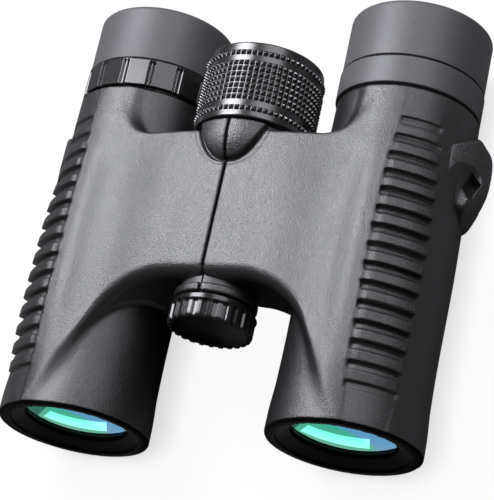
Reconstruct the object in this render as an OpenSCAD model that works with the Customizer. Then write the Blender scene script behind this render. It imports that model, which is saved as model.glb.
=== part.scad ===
// Compact roof-prism binoculars, 26 mm objectives, folding about one central hinge.
// Stations run along the barrels from the objective rims (0) to the tops of the eyecups.
// X is across, Y along the barrels towards the eyepieces, Z up; the part lies on its barrels.

/* [Barrels] */
// Distance between the two barrel axes when fully open
eye_spacing = 72; // [70:0.5:76]
// Clear radius of the objective lens
lens_r = 13; // [12:0.1:13.2]
// Wall of the cell around the objective lens
cell_wall = 2.3; // [2:0.1:2.6]
// Wall of the rigid housing around the objective cell
wall_t = 1.5; // [1.2:0.1:1.6]
// Thickness of the rubber armour
skin_t = 1.5; // [1.2:0.1:1.7]
// Flare of the armour at the objective rim
rim_flare = 0.6; // [0.3:0.1:0.8]
// Narrowing of the armour at the neck, in front of the eyepiece ring
neck_taper = 0.6; // [0.3:0.1:0.8]
// Length of the armour behind the bridge
neck_len = 14; // [12:0.5:16]

/* [Grip ribs] */
// Number of ribs on each barrel
rib_count = 15; // [8:1:15]
// Station of the front edge of the first rib
rib_first = 10.4; // [8:0.2:12]
// Plain length of the rib strip behind the last rib
rib_margin = 3.45; // [2.5:0.05:6]
// Rise of the ribs above the plain side at the middle of the barrel
rib_rise = 2.2; // [1.6:0.1:2.6]
// Depth of the valley between two ribs
rib_depth = 1.0; // [0.5:0.1:1.3]
// Lower edge of the rib strip, in degrees above the horizontal
rib_low = 35; // [30:1:45]
// Upper edge of the rib strip, in degrees above the horizontal
rib_high = 75; // [65:1:80]

/* [Bridge and hinge] */
// Station of the front edge of the bridge
bridge_front = 34.5; // [33:0.5:38]
// Length of the bridge along the barrels
bridge_len = 39; // [37:0.5:43]
// Height of the bridge top at the seam above the plain side of a barrel
bridge_rise = 2.8; // [2.6:0.1:4]
// Radius of the arch where the bridge turns down into a barrel
arch_r = 20; // [17:0.5:21]
// Height of the hinge axis above the barrel axes
hinge_rise = 9.7; // [9:0.1:10]
// Angle that each half folds down from fully open
fold_angle = 26; // [20:0.5:27]
// Width of the seam between the two halves
seam_w = 0.5; // [0.4:0.1:0.8]
// Radius of the hinge axle
axle_r = 6; // [5.8:0.1:6.2]
// Wall of the hinge knuckles
knuckle_wall = 2.6; // [2.2:0.1:2.8]

/* [Focus wheel] */
// Radius over the studs of the focus wheel
wheel_r = 15.4; // [15:0.1:16]
// Length of the focus wheel
wheel_len = 20.9; // [19.5:0.1:22]
// Number of studs around the wheel
stud_count = 64; // [40:2:72]
// Height of a stud
stud_h = 0.45; // [0.2:0.05:0.6]
// Travel of the focusing lenses each way
focus_travel = 2.5; // [1.5:0.1:2.6]
// Radius of the focusing shaft
shaft_r = 3; // [2.6:0.1:3.2]

/* [Tripod socket] */
// Radius of the socket's bore (1/4-20 thread, minor diameter 5.1)
socket_r = 2.55; // [2.5:0.05:2.6]
// Depth of the socket's bore
socket_depth = 8; // [6:0.5:8.5]
// Wall of the cap around the boss, over its ribs
cap_wall = 2.42; // [2:0.01:2.8]
// Length of the cap
cap_len = 6.7; // [6:0.1:7.2]
// Number of wide ribs around the cap
cap_ribs = 26; // [16:1:30]

/* [Optics] */
// Beam width that the prisms take
prism_d = 11.5; // [10:0.25:11.75]
// Radius of the focusing lens
focus_lens_r = 10.6; // [9.8:0.1:10.8]
// Radius of the eye lens
eye_lens_r = 11.9; // [11:0.1:12]

/* [Eyepieces] */
// Wall of the eyepiece tube around the eye lens
eyepiece_wall = 2.1; // [1.9:0.1:2.3]
// Wall of the eyecup around the eyepiece tube
cup_wall = 4; // [3.6:0.1:4.4]
// Step from the eyecup up to the plain ring
ring_step = 0.25; // [0.1:0.05:0.6]
// Length of the eyepiece rings
ring_len = 8.2; // [7.4:0.1:8.6]
// Number of pads around the diopter ring
diopter_pads = 16; // [12:1:20]
// Travel of the diopter cell each way
diopter_travel = 1.5; // [1:0.1:1.6]
// Length of the eyecup
cup_len = 15.8; // [15:0.1:17]

/* [Strap lugs] */
// Reach of the lug beyond the plain side of the barrel
lug_out = 5.8; // [5.6:0.1:6.6]
// Distance of the lug's widest point behind the bridge
lug_behind = 1.1; // [0:0.2:2.4]
// Width of the strap slot, from the barrel outwards
slot_w = 4.3; // [4.2:0.1:4.4]
// Length of the strap slot along the barrel
slot_len = 8.4; // [8:0.1:9]

/* [Hidden] */
$fn = 64;
run_gap = 0.05;   // radial clearance of a shaft or a sliding fit
seat_gap = 0.05;  // clearance of a piece seated in its bore
free_gap = 0.3;   // clearance between pieces that only pass each other
end_gap = 0.25;   // gap between the armour, a ring and an eyecup

// Radii of the barrels, from the objective lens outwards
barrel_x = eye_spacing / 2;
objective_bore = lens_r + cell_wall;
chamber_r = objective_bore - 0.8;
side_r = objective_bore + wall_t + skin_t;
rim_r = side_r + rim_flare;
neck_r = side_r - neck_taper;
grip_r = side_r + rib_rise;
bridge_h = side_r + bridge_rise;

// Radii of the eyepieces, from the eye lens outwards
tube_r = eye_lens_r + eyepiece_wall;
cell_r = tube_r - 2;
guide_r = tube_r + 1.2;
cup_r = tube_r + cup_wall;
ring_r = cup_r + ring_step;
diopter_r = ring_r + 0.2;
neck_bore = tube_r - 0.8;

// Radii of the hinge, from the shaft outwards
neck_of_shaft = shaft_r - 0.8;
collar_r = shaft_r + 1.15;
boss_r = axle_r + 2.4;
cap_r = boss_r + run_gap + cap_wall;
knuckle_r = axle_r + knuckle_wall;
cavity_r = knuckle_r + free_gap;
sleeve_r = cavity_r + 0.5 + skin_t;
hub_r = wheel_r - 1.8;
hood_r = wheel_r - 0.9;

// Heights and directions
barrel_z = max(rim_r, diopter_r);
hinge_arm = norm([barrel_x, hinge_rise]);
hinge_tilt = atan(hinge_rise / barrel_x);

// Stations of the bridge, the armour and the eyepiece rings
bridge_rear = bridge_front + bridge_len;
armour_len = bridge_rear + neck_len;
ring_y = armour_len + end_gap;
cup_y = ring_y + ring_len + end_gap;
body_len = cup_y + cup_len;
shell_front = 1.6;
rib_pitch = (armour_len - rib_margin - rib_first) / rib_count;

// Hinge stack, from the front
sleeve_y = bridge_front - 3.85;
boss_y = sleeve_y - 5.75;
knuckle_gap = 0.5;
left_a = [sleeve_y, sleeve_y + 2.75];
right_a = [left_a[1] + knuckle_gap, left_a[1] + knuckle_gap + 2.5];
arm_t = 4;
arm_y = right_a[1] + 3.6;
arm_half = 2;
window = [arm_y - focus_travel - 0.6, arm_y + arm_t + focus_travel + 0.6];
left_b = [window[1] + 0.5, window[1] + 8.1];
right_b = [left_b[1] + knuckle_gap, left_b[1] + knuckle_gap + 7.6];
hinge_clip_y = right_b[1] + 0.5;
clip_t = 0.8;
cavity_end = hinge_clip_y + clip_t + 0.9;
hood_y = bridge_rear + 1.7;

// Focusing and prism chamber of a barrel
guide_y = sleeve_y + 0.8;
guide_t = 2.3;
chamber_y = guide_y + guide_t + seat_gap;
prism_y = window[1] + 0.9;
plate_t = 1.8;
cage_rear = prism_y + plate_t + prism_d * 1.2071 + 6.5;
wall_y = cage_rear + 0.2;
neck_bore_y = wall_y + 2;

// Focus wheel and shaft
wheel_y = hood_y + 0.4;
wheel_end = wheel_y + wheel_len;
axle_end = wheel_y + 12.5;
wheel_clip_y = axle_end - 1.5;
nut_y = axle_end + 0.3;
nut_t = 2;
shaft_end = nut_y + nut_t + 2.1;
end_cap_t = 1.3;

// Eyepieces, from the eye lens forwards
tube_y = neck_bore_y + 0.1;
tube_top = cup_y + cup_len - 4.7;
eye_seat = tube_top - 6.9;
stop_y = eye_seat - 8.4;
cell_y = tube_y + diopter_travel + 2;
cell_len = stop_y - 2 * diopter_travel - 1 - cell_y;

// Strap lugs
lug_reach = side_r + lug_out;
lug_station = bridge_rear + lug_behind;
lug_front = 14.2;
lug_rear = 9.4;

// Colours
armour_tone = [0.16, 0.16, 0.17];
plastic_tone = [0.10, 0.10, 0.11];
gloss_tone = [0.05, 0.05, 0.055];
metal_tone = [0.55, 0.56, 0.58];
brass_tone = [0.72, 0.58, 0.30];
glass_tone = [0.35, 0.75, 0.65];

// ---------- placing ----------

// One half of the binoculars: side 1 is the left half, side -1 the right, mirrored
module half(side) {
    translate([0, -body_len / 2, barrel_z])
        mirror([side < 0 ? 1 : 0, 0, 0])
            children();
}

// Turns a piece modelled about Z, with Z as its station, onto a barrel axis
module on_barrel() {
    translate([barrel_x, 0, 0]) rotate([-90, 0, 0]) children();
}

// The same, onto the hinge axis
module on_hinge() {
    translate([0, 0, hinge_rise]) rotate([-90, 0, 0]) children();
}

// Extrudes an outline drawn in X and Z from station y0 to station y1
module lengthwise(y0, y1) {
    translate([0, y1, 0]) rotate([90, 0, 0]) linear_extrude(y1 - y0) children();
}

module disc(r, y0, y1) {
    translate([0, 0, y0]) cylinder(r = r, h = y1 - y0);
}

module tube(r_out, r_in, y0, y1) {
    difference() {
        disc(r_out, y0, y1);
        disc(r_in, y0 - 1, y1 + 1);
    }
}

// A lens of edge radius r between two stations, with sphere radii front and rear:
// positive bulges out, negative is hollow
module lens(r, y0, y1, front, rear) {
    rotate_extrude() difference() {
        intersection() {
            translate([0, y0 - max(0, sagitta(front, r))])
                square([r, y1 - y0 + max(0, sagitta(front, r)) + max(0, sagitta(rear, r))]);
            if (front > 0) lens_face(front, y0 - sagitta(front, r) + front);
            if (rear > 0) lens_face(rear, y1 + sagitta(rear, r) - rear);
        }
        if (front < 0) lens_face(-front, y0 - sagitta(front, r) + front);
        if (rear < 0) lens_face(-rear, y1 + sagitta(rear, r) - rear);
    }
}

// Section of the sphere that shapes a lens face, fine enough to keep its depth
module lens_face(radius, centre_y) {
    translate([0, centre_y]) circle(r = radius, $fn = 720);
}

// Depth of a spherical surface at radius r, with the sign of the surface
function sagitta(radius, r) =
    sign(radius) * (abs(radius) - sqrt(radius * radius - r * r));

// ---------- armour and housing ----------

// Radius of the plain side of the armour at each station
function side_points(t) = [
    [rim_r - t, 5], [side_r - t, 14], [side_r + 0.1 - t, bridge_front + 13.5],
    [side_r - t, bridge_rear - 7.5], [neck_r + 0.1 - t, armour_len - 4.5], [neck_r - t, armour_len]];

// Radius over the ribs at a station: full in the middle, less at both ends
function grip_at(y) =
    let (front = (y - rib_first) / 20, rear = (y - armour_len + 37.5) / 34)
    grip_r - 1.4 * pow(max(0, 1 - front), 2) - 2.3 * pow(max(0, rear), 2);

module fold_clearance() {
    // far is past every surface of a half
    far = 3 * barrel_x;
    lengthwise(-1, armour_len + 1) {
        translate([-far, -far]) square([far + seam_w / 2, 2 * far]);
        polygon([[0, hinge_rise], [0, hinge_rise - far],
            [far * tan(fold_angle + 2), hinge_rise - far]]);
    }
}

// Plan outline of the bridge over one half, inset by t
module bridge_outline(t) {
    arch_x = 10.5;
    reach = arch_r + t;
    difference() {
        translate([-1, 3]) square([barrel_x + 1, armour_len - 4 - 3]);
        // open space between the barrels in front of the bridge
        translate([-2, -1]) square([arch_x + 2, bridge_front + 1 + t]);
        translate([arch_x, bridge_front - arch_r]) circle(r = reach);
        polygon([[arch_x, -1], [barrel_x + 4, -1], [barrel_x + 2 + t, 3],
            [arch_x + reach * 0.75, bridge_front - arch_r + reach * 0.45],
            [arch_x, bridge_front - arch_r]]);
        // open space behind the bridge, under the focus wheel
        polygon([[-2, bridge_rear - t], [barrel_x - 11 + t, bridge_rear - t],
            [barrel_x + 3, bridge_rear + 9 - t], [barrel_x + 3, armour_len + 5],
            [-2, armour_len + 5]]);
    }
}

module bridge_solid(t) {
    intersection() {
        lengthwise(3, armour_len - 3)
            polygon([[0, bridge_h - t], [barrel_x - 9, bridge_h - 0.5 - t],
                [barrel_x, grip_r - 0.9 - t], [barrel_x, 0], [barrel_x - 11.5, 4.7 - side_r + t],
                [6.5 - t, hinge_rise - 10.2 + t], [0, hinge_rise - 8.7]]);
        translate([0, 0, -30]) linear_extrude(60) bridge_outline(t);
    }
}

// Sleeve over the hinge, widening into the hood in front of the focus wheel
module hinge_cover(t) {
    rotate_extrude()
        polygon([[0, sleeve_y], [sleeve_r - t, sleeve_y], [sleeve_r - t, bridge_rear - 11],
            [hood_r - 2.2 - t, bridge_rear - 8], [hood_r - 0.6 - t, bridge_rear - 4.2],
            [hood_r - t, bridge_rear - 1], [hood_r - t, hood_y], [0, hood_y]]);
}

// Rigid core of one half before its bores
module housing_blank() {
    difference() {
        union() {
            on_barrel() rotate_extrude()
                polygon(concat([[0, shell_front], [rim_r - skin_t, shell_front]],
                    side_points(skin_t), [[0, armour_len]]));
            bridge_solid(skin_t);
            on_hinge() hinge_cover(skin_t);
        }
        fold_clearance();
    }
}

module knuckle(zone) {
    on_hinge() tube(knuckle_r, axle_r + run_gap, zone[0], zone[1]);
}

module housing(side, zones, gaps) {
    color(plastic_tone) half(side) difference() {
        union() {
            difference() {
                housing_blank();
                // room for the other half's knuckles, the focusing arms and the clip
                for (gap = gaps) on_hinge() disc(cavity_r, gap[0], gap[1]);
                on_hinge() disc(axle_r + free_gap, cavity_end - 1, hood_y + 1);
                for (zone = zones) on_hinge() disc(axle_r + run_gap, zone[0] - 1, zone[1] + 1);
            }
            for (zone = zones) knuckle(zone);
        }
        on_barrel() {
            disc(objective_bore, shell_front - 1, chamber_y);
            disc(chamber_r, chamber_y - 1, wall_y);
            disc(9, wall_y - 1, neck_bore_y + 1);
            disc(neck_bore, neck_bore_y, armour_len + 1);
        }
        arm_channel();
    }
}

// Channel that the focusing arm runs through, from the barrel to the hinge
module arm_channel() {
    reach = hinge_arm - cavity_r + 1;
    on_barrel() rotate([0, 0, hinge_tilt - 180])
        translate([chamber_r - 2, -arm_half - 0.6, window[0]])
            cube([reach - chamber_r + 2, 2 * arm_half + 1.2, window[1] - window[0]]);
}

// One rib strip: each rib ramps outwards to the front and ends in a step
module rib_strip() {
    root = side_r - skin_t + 0.2;
    teeth = [for (i = [0 : rib_count - 1])
        let (y = rib_first + i * rib_pitch)
        each [[grip_at(y) - rib_depth, y], [grip_at(y), y + 0.3],
            [grip_at(y) - rib_depth * 0.4, y + rib_pitch * 0.5],
            [grip_at(y) - rib_depth, y + rib_pitch * 0.6]]];
    strip_end = rib_first + rib_count * rib_pitch;
    on_barrel() rotate([0, 0, -rib_high]) rotate_extrude(angle = rib_high - rib_low)
        polygon(concat([[root, 5], [rim_r - 0.05, 5]], teeth,
            [[neck_r + 0.15, strip_end], [root, strip_end]]));
}

// Smooth shoulder between the rib strip and the bridge
module shoulder() {
    root = side_r - skin_t + 0.2;
    sweep = 28;
    // the shoulder laps a little way into the grip strip
    lap = 0.5;
    on_barrel() rotate([0, 0, -rib_high - sweep]) rotate_extrude(angle = sweep + lap)
        polygon([[root, 5], [rim_r - 0.05, 5], [grip_at(rib_first + 6) - 0.2, rib_first + 6],
            [grip_at(bridge_front - 4.5) - 0.1, bridge_front - 4.5],
            [grip_at(bridge_rear - 17.5) - 0.1, bridge_rear - 17.5],
            [neck_r + 0.1, armour_len - 4.5], [root, armour_len - 4.5]]);
}

module armour(side) {
    color(armour_tone) half(side) difference() {
        union() {
            on_barrel() rotate_extrude()
                polygon(concat([[0, 0], [rim_r - 1.1, 0], [rim_r - 0.3, 0.35], [rim_r, 1.2]],
                    side_points(0), [[0, armour_len]]));
            rib_strip();
            shoulder();
            bridge_solid(0);
            on_hinge() hinge_cover(0);
        }
        fold_clearance();
        housing_blank();
        on_barrel() disc(objective_bore + 1, -1, shell_front + 1);
        on_hinge() disc(cavity_r, sleeve_y - 1, cavity_end);
        lug_root(seat_gap);
    }
}

// ---------- strap lugs ----------

// Plan outline of the lug, drawn from the barrel axis outwards
module lug_outline(grow) {
    translate([barrel_x, lug_station])
        polygon([[side_r / 2, lug_rear - 0.4 + grow], [side_r - 0.6, lug_rear + grow],
            [lug_reach - 2.4, 6], [lug_reach - 0.6, 3], [lug_reach, 0], [lug_reach - 0.5, -3.4],
            [side_r + 0.2, -lug_front - grow], [side_r / 2, -lug_front - grow]]);
}

// Lug with its foot on the housing, inside the armour
module lug_solid(grow) {
    difference() {
        intersection() {
            translate([0, 0, -30]) linear_extrude(60) lug_outline(grow);
            lengthwise(lug_station - 20, lug_station + 20) translate([barrel_x, 0])
                polygon([[side_r - 6.3, 9.6 + grow], [side_r - 1.7, 8.4 + grow],
                    [lug_reach - 2.3, 3.6], [lug_reach, -1], [lug_reach, -3],
                    [lug_reach - 2.1, -6 - grow], [side_r - 6.3, -6 - grow]]);
        }
        on_barrel() disc(side_r + 0.1 - skin_t + seat_gap - grow, 0, armour_len);
    }
}

// The part of the lug that passes through the armour
module lug_root(grow) {
    intersection() {
        lug_solid(grow);
        on_barrel() disc(grip_r, 0, armour_len);
    }
}

module strap_lug(side) {
    slot_in = side_r + 0.15;
    slot_rear = lug_station;
    color(plastic_tone) half(side) difference() {
        lug_solid(0);
        translate([barrel_x, 0, -20]) linear_extrude(40)
            polygon([[slot_in, slot_rear - slot_len], [slot_in, slot_rear],
                [slot_in + slot_w - 0.4, slot_rear], [slot_in + slot_w, slot_rear - 0.4],
                [slot_in + slot_w, slot_rear - slot_len / 2 - 0.4],
                [slot_in + slot_w / 2 - 0.3, slot_rear - slot_len]]);
    }
}

// ---------- objective ----------

module objective_ring(side) {
    front = 0.5;
    color(gloss_tone) half(side) on_barrel() rotate_extrude()
        polygon([[objective_bore + 0.8, front], [objective_bore + 0.95, front + 0.2],
            [objective_bore + 0.95, shell_front - 0.02], [objective_bore - seat_gap, shell_front - 0.02],
            [objective_bore - seat_gap, 2.9], [lens_r, 2.9], [lens_r, 2.4]]);
}

module objective_crown(side) {
    color(glass_tone) half(side) on_barrel() lens(lens_r + 0.55, 3.1, 5.4, 62, 48);
}

module objective_flint(side) {
    color(glass_tone) half(side) on_barrel() lens(lens_r + 0.55, 5.43, 9.2, -48.1, 400);
}

// Cell with a ridged, light-trapping bore behind the lenses
module objective_cell(side) {
    seat = 9.45;
    color(plastic_tone) half(side) on_barrel() difference() {
        disc(objective_bore - seat_gap, 2.95, guide_y - 0.05);
        disc(lens_r + 0.6, 2, seat);
        disc(lens_r - 0.4, 2, guide_y + 1);
        for (i = [0 : 4]) disc(lens_r + 0.5, seat + 2.5 + 4 * i, seat + 4.5 + 4 * i);
    }
}

module guide_ring(side) {
    color(metal_tone) half(side) on_barrel() difference() {
        tube(objective_bore - seat_gap, focus_lens_r + 0.2, guide_y, guide_y + guide_t);
        guide_rod_shape(seat_gap);
    }
}

rod_r = 1;
rod_at = (focus_lens_r + chamber_r) / 2 + 0.05;

module guide_rod_shape(grow) {
    rotate([0, 0, 60]) translate([rod_at, 0, 0])
        disc(rod_r + grow, guide_y + 0.3, prism_y + plate_t - 0.3);
}

module guide_rod(side) {
    color(metal_tone) half(side) on_barrel() guide_rod_shape(0);
}

// ---------- focusing ----------

module focus_carrier(side) {
    front = arm_y - 3;
    rear = arm_y + arm_t + 0.5;
    color(plastic_tone) half(side) on_barrel() difference() {
        union() {
            disc(chamber_r - 0.1, front, rear);
            rotate([0, 0, hinge_tilt - 180]) translate([focus_lens_r + 1, -arm_half, arm_y])
                cube([hinge_arm - neck_of_shaft - 0.4 - focus_lens_r - 1, 2 * arm_half, arm_t]);
        }
        disc(focus_lens_r + seat_gap, front + 1.5, rear + 1);
        disc(focus_lens_r - 0.8, front - 1, rear + 1);
        guide_rod_shape(run_gap);
    }
}

module focus_lens(side) {
    color(glass_tone) half(side) on_barrel()
        lens(focus_lens_r, arm_y - 1.45, arm_y + 2.6, 300, -42);
}

module focus_shaft() {
    collar_t = 1.35;
    color(metal_tone) half(1) on_hinge() union() {
        disc(collar_r, arm_y - 0.05 - collar_t, arm_y - 0.05);
        disc(neck_of_shaft, arm_y - 1, arm_y + arm_t + 1);
        disc(collar_r, arm_y + arm_t + 0.05, arm_y + arm_t + 0.05 + collar_t);
        disc(shaft_r, arm_y + arm_t + 1, shaft_end);
    }
}

module focus_hub() {
    color(plastic_tone) half(1) on_hinge() difference() {
        disc(hub_r, wheel_y, wheel_end - end_cap_t - 0.05);
        disc(axle_r + run_gap, wheel_y - 1, axle_end + 0.3);
        disc(shaft_r + run_gap, wheel_y, wheel_end);
        // hollow around the bearing sleeve
        tube(hub_r - 1.4, axle_r + 2, wheel_y + 1.8, wheel_clip_y - 0.2);
        disc(hub_r - 1.4, wheel_clip_y - 0.21, nut_y);
        disc(hub_r - 1.4, nut_y + nut_t, wheel_end);
    }
}

// Studded sleeve: a wide band of studs between two single rows
module focus_grip() {
    base_r = wheel_r - stud_h;
    lip = 1;
    bands = [[2.2, 3.8], [5.4, wheel_len - 5.2], [wheel_len - 3.5, wheel_len - 1.9]];
    color(gloss_tone) half(1) on_hinge() difference() {
        union() {
            rotate_extrude()
                polygon([[0, wheel_y], [base_r - lip, wheel_y], [base_r, wheel_y + lip],
                    [base_r, wheel_end - lip - 0.6], [base_r - lip, wheel_end - 0.2],
                    [base_r - lip - 0.6, wheel_end], [0, wheel_end]]);
            for (band = bands) translate([0, 0, wheel_y + band[0]])
                linear_extrude(band[1] - band[0])
                    polygon([for (i = [0 : 2 * stud_count - 1])
                        let (r = i % 2 == 0 ? wheel_r : base_r - 0.05)
                        r * [cos(180 * i / stud_count), sin(180 * i / stud_count)]]);
        }
        disc(hub_r + seat_gap, wheel_y - 1, wheel_end + 1);
    }
}

module focus_cap() {
    color(gloss_tone) half(1) on_hinge() disc(hub_r, wheel_end - end_cap_t, wheel_end - 0.05);
}

// ---------- hinge core ----------

// Sector of the axle that lets the left arm in and lets it fold
module arm_window(outer_r) {
    spread = asin((arm_half + 0.4) / (collar_r + 0.15));
    from = hinge_tilt - spread;
    to = hinge_tilt + fold_angle + spread;
    rotate([0, 0, from]) rotate_extrude(angle = to - from)
        translate([neck_of_shaft, window[0]])
            square([outer_r - neck_of_shaft + 1, window[1] - window[0]]);
}

module hinge_axle() {
    color(metal_tone) half(1) on_hinge() difference() {
        union() {
            disc(boss_r, boss_y, sleeve_y - 0.1);
            disc(axle_r, boss_y + 1, axle_end);
        }
        disc(collar_r + 0.15, boss_y - 1, window[1] + 1.3);
        disc(shaft_r + run_gap, boss_y, axle_end + 1);
        arm_window(axle_r);
        mirror([1, 0, 0]) arm_window(axle_r);
        clip_groove(hinge_clip_y);
        clip_groove(wheel_clip_y);
    }
}

module clip_groove(y) {
    tube(axle_r + 1, axle_r - 0.5, y - 0.02, y + clip_t + 0.02);
}

module retaining_clips() {
    color(metal_tone) half(1) on_hinge() for (y = [hinge_clip_y, wheel_clip_y])
        rotate([0, 0, -45]) rotate_extrude(angle = 270)
            translate([axle_r - 0.5 + 0.02, y]) square([2.6, clip_t]);
}

// Spacer around the axle between the knuckles, open where the focusing arms pass
module hinge_sleeve() {
    color(metal_tone) half(1) on_hinge() difference() {
        tube(knuckle_r, axle_r + run_gap, right_a[1] + 0.1, left_b[0] - 0.1);
        arm_window(knuckle_r);
        mirror([1, 0, 0]) arm_window(knuckle_r);
    }
}

module hinge_washers() {
    thick = knuckle_gap - 0.1;
    color(brass_tone) half(1) on_hinge()
        for (y = [left_a[1], left_b[1], right_b[1]])
            tube(knuckle_r - 0.1, axle_r + run_gap, y + 0.05, y + 0.05 + thick);
}

module tripod_socket() {
    color(brass_tone) half(1) on_hinge() difference() {
        disc(collar_r + 0.1, boss_y, boss_y + socket_depth + 1.6);
        disc(socket_r, boss_y - 1, boss_y + socket_depth);
    }
}

// Ribbed cap over the tripod socket: wide pads with a narrow ridge between two grooves
module tripod_cap() {
    front = sleeve_y - 0.45 - cap_len;
    ribbed_end = front + cap_len - 1.3;
    groove_r = 0.32;
    color(gloss_tone) half(1) on_hinge() difference() {
        rotate_extrude()
            polygon([[0, front], [cap_r - 0.5, front], [cap_r, front + 0.5], [cap_r, ribbed_end],
                [cap_r - 0.7, ribbed_end], [cap_r - 0.7, front + cap_len], [0, front + cap_len]]);
        disc(boss_r + run_gap, boss_y - 0.05, sleeve_y);
        for (i = [0 : cap_ribs - 1], shift = [-2.2, 2.2])
            rotate([0, 0, 360 * i / cap_ribs + shift])
                translate([cap_r + 0.05, 0, front - 1])
                    cylinder(r = groove_r, h = ribbed_end - front + 1, $fn = 16);
    }
}

// ---------- prisms ----------

half_width = prism_d / 2 + 0.3;
prism_start = prism_y + plate_t + 1.5;

// Side outlines in station and height, for an entry face prism_d high
front_outline = prism_d * [[0, 0.5], [0, -0.5], [1, -0.9142], [1.2071, -0.7071]];
roof_outline = prism_d * [[0, 0.5], [1.2071, -0.7071], [1.2071, 1]];

// Extrudes a side outline of station and height across the barrel
module crosswise(width) {
    translate([barrel_x + width / 2, 0, 0]) rotate([90, 0, -90])
        linear_extrude(width) mirror([1, 0]) children();
}

module prism_front(side) {
    color(glass_tone) half(side) crosswise(2 * half_width)
        translate([prism_start, 0]) polygon(front_outline);
}

// Roof prism: its upper face is a right-angled ridge
module prism_roof(side) {
    air = 0.25;
    color(glass_tone) half(side) intersection() {
        crosswise(2 * half_width) translate([prism_start + air, 0]) polygon(roof_outline);
        translate([barrel_x, prism_start + air, prism_d * 0.5]) rotate([22.5, 0, 0])
            translate([0, 40, 0]) rotate([90, 0, 0]) linear_extrude(80)
                polygon([[0, 0], [40, -40], [-40, -40]]);
    }
}

module cage_hollow() {
    crosswise(2 * half_width + 0.1)
        polygon([[prism_y + plate_t - 1, -prism_d * 0.93], [prism_y + plate_t - 1, prism_d * 1.02],
            [cage_rear - 1.8, prism_d * 1.02], [cage_rear - 1.8, -prism_d * 0.93]]);
}

module prism_cage(side) {
    color(metal_tone) half(side) difference() {
        on_barrel() disc(chamber_r - 0.1, prism_y + plate_t + 0.02, cage_rear);
        cage_hollow();
        on_barrel() disc(prism_d * 0.56, prism_y, cage_rear + 1);
        screw_places() disc(screw_r, prism_y - 1, prism_y + plate_t + 4.1);
    }
}

module prism_plate(side) {
    color(metal_tone) half(side) difference() {
        on_barrel() tube(chamber_r - 0.1, prism_d * 0.56, prism_y, prism_y + plate_t);
        on_barrel() guide_rod_shape(seat_gap);
        screw_places() disc(screw_r, prism_y - 1, prism_y + plate_t + 4);
    }
}

screw_r = 0.7;

module screw_places() {
    for (turn = [0, 180]) on_barrel() rotate([0, 0, turn])
        translate([chamber_r - 2.2, 0, 0]) children();
}

module prism_screws(side) {
    color(brass_tone) half(side) screw_places() union() {
        disc(1.4, prism_y - 0.7, prism_y - 0.01);
        disc(screw_r - 0.02, prism_y - 0.05, prism_y + plate_t + 4);
    }
}

// ---------- eyepieces ----------

module eyepiece_tube(side) {
    color(plastic_tone) half(side) on_barrel() difference() {
        union() {
            disc(neck_bore - seat_gap, tube_y, armour_len + 1);
            disc(tube_r, armour_len + 0.05, tube_top);
        }
        disc(cell_r, tube_y - 1, stop_y);
        disc(eye_lens_r - 1, tube_y - 1, tube_top + 1);
        disc(eye_lens_r + seat_gap, eye_seat, tube_top + 1);
    }
}

// Cell of the field lens, with the field stop in its front end
module field_cell(side) {
    color(plastic_tone) half(side) on_barrel() difference() {
        disc(cell_r - run_gap, cell_y, cell_y + cell_len);
        disc(cell_r - 5, cell_y - 1, cell_y + 2);
        disc(cell_r - 1.5, cell_y + 1, cell_y + cell_len + 1);
    }
}

module field_lens(side) {
    color(glass_tone) half(side) on_barrel()
        lens(cell_r - 1.5 - seat_gap, cell_y + 4.5, cell_y + 8, 40, 30);
}

module eye_lens(side) {
    color(glass_tone) half(side) on_barrel()
        lens(eye_lens_r, eye_seat + 1.4, tube_top - 1.45, 45, 160);
}

module eye_ring(side) {
    color(plastic_tone) half(side) on_barrel()
        tube(eye_lens_r, eye_lens_r - 1.2, tube_top - 1.3, tube_top);
}

module plain_ring(side) {
    color(plastic_tone) half(side) on_barrel() rotate_extrude()
        polygon([[tube_r + seat_gap, ring_y], [ring_r - 0.3, ring_y], [ring_r, ring_y + 0.3],
            [ring_r, ring_y + ring_len - 0.3], [ring_r - 0.3, ring_y + ring_len],
            [tube_r + seat_gap, ring_y + ring_len]]);
}

// Diopter ring: flat glossy pads, each parted from the next by a narrow ridge
module diopter_ring(side) {
    groove = 0.45;
    apart = 3.2;
    color(gloss_tone) half(side) on_barrel() difference() {
        disc(diopter_r, ring_y, ring_y + ring_len);
        disc(tube_r + run_gap, ring_y - 1, ring_y + ring_len + 1);
        for (i = [0 : diopter_pads - 1], shift = [-apart, apart])
            rotate([0, 0, 360 * i / diopter_pads + shift])
                translate([diopter_r, 0, ring_y + 0.5]) cylinder(r = groove, h = ring_len, $fn = 16);
    }
}

module eyecup_guide(side) {
    color(plastic_tone) half(side) on_barrel()
        tube(guide_r, tube_r + run_gap, cup_y + 0.05, tube_top - 0.1);
}

// Cup with a rounded rim and a funnel-shaped mouth for the eye
module eyecup(side) {
    mouth_r = tube_r - 1.1;
    color(armour_tone) half(side) on_barrel() rotate_extrude()
        polygon([[guide_r + run_gap, cup_y], [cup_r, cup_y], [cup_r, cup_y + cup_len - 2],
            [cup_r - 0.35, cup_y + cup_len - 1], [cup_r - 1.1, cup_y + cup_len - 0.3],
            [cup_r - 1.9, cup_y + cup_len], [mouth_r + 1.6, cup_y + cup_len - 0.3],
            [mouth_r, cup_y + cup_len - 2.4], [mouth_r, tube_top + free_gap],
            [guide_r + run_gap, tube_top + free_gap]]);
}

// Stretches of hinge that a half leaves open around its own knuckles
left_gaps = [[left_a[1], left_b[0]], [left_b[1], cavity_end]];
right_gaps = [[sleeve_y - 1, right_a[0]], [right_a[1], right_b[0]], [right_b[1], cavity_end]];

hinge_axle();
hinge_sleeve();
hinge_washers();
retaining_clips();
tripod_socket();
tripod_cap();
focus_hub();
focus_grip();
focus_cap();
focus_shaft();

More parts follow.
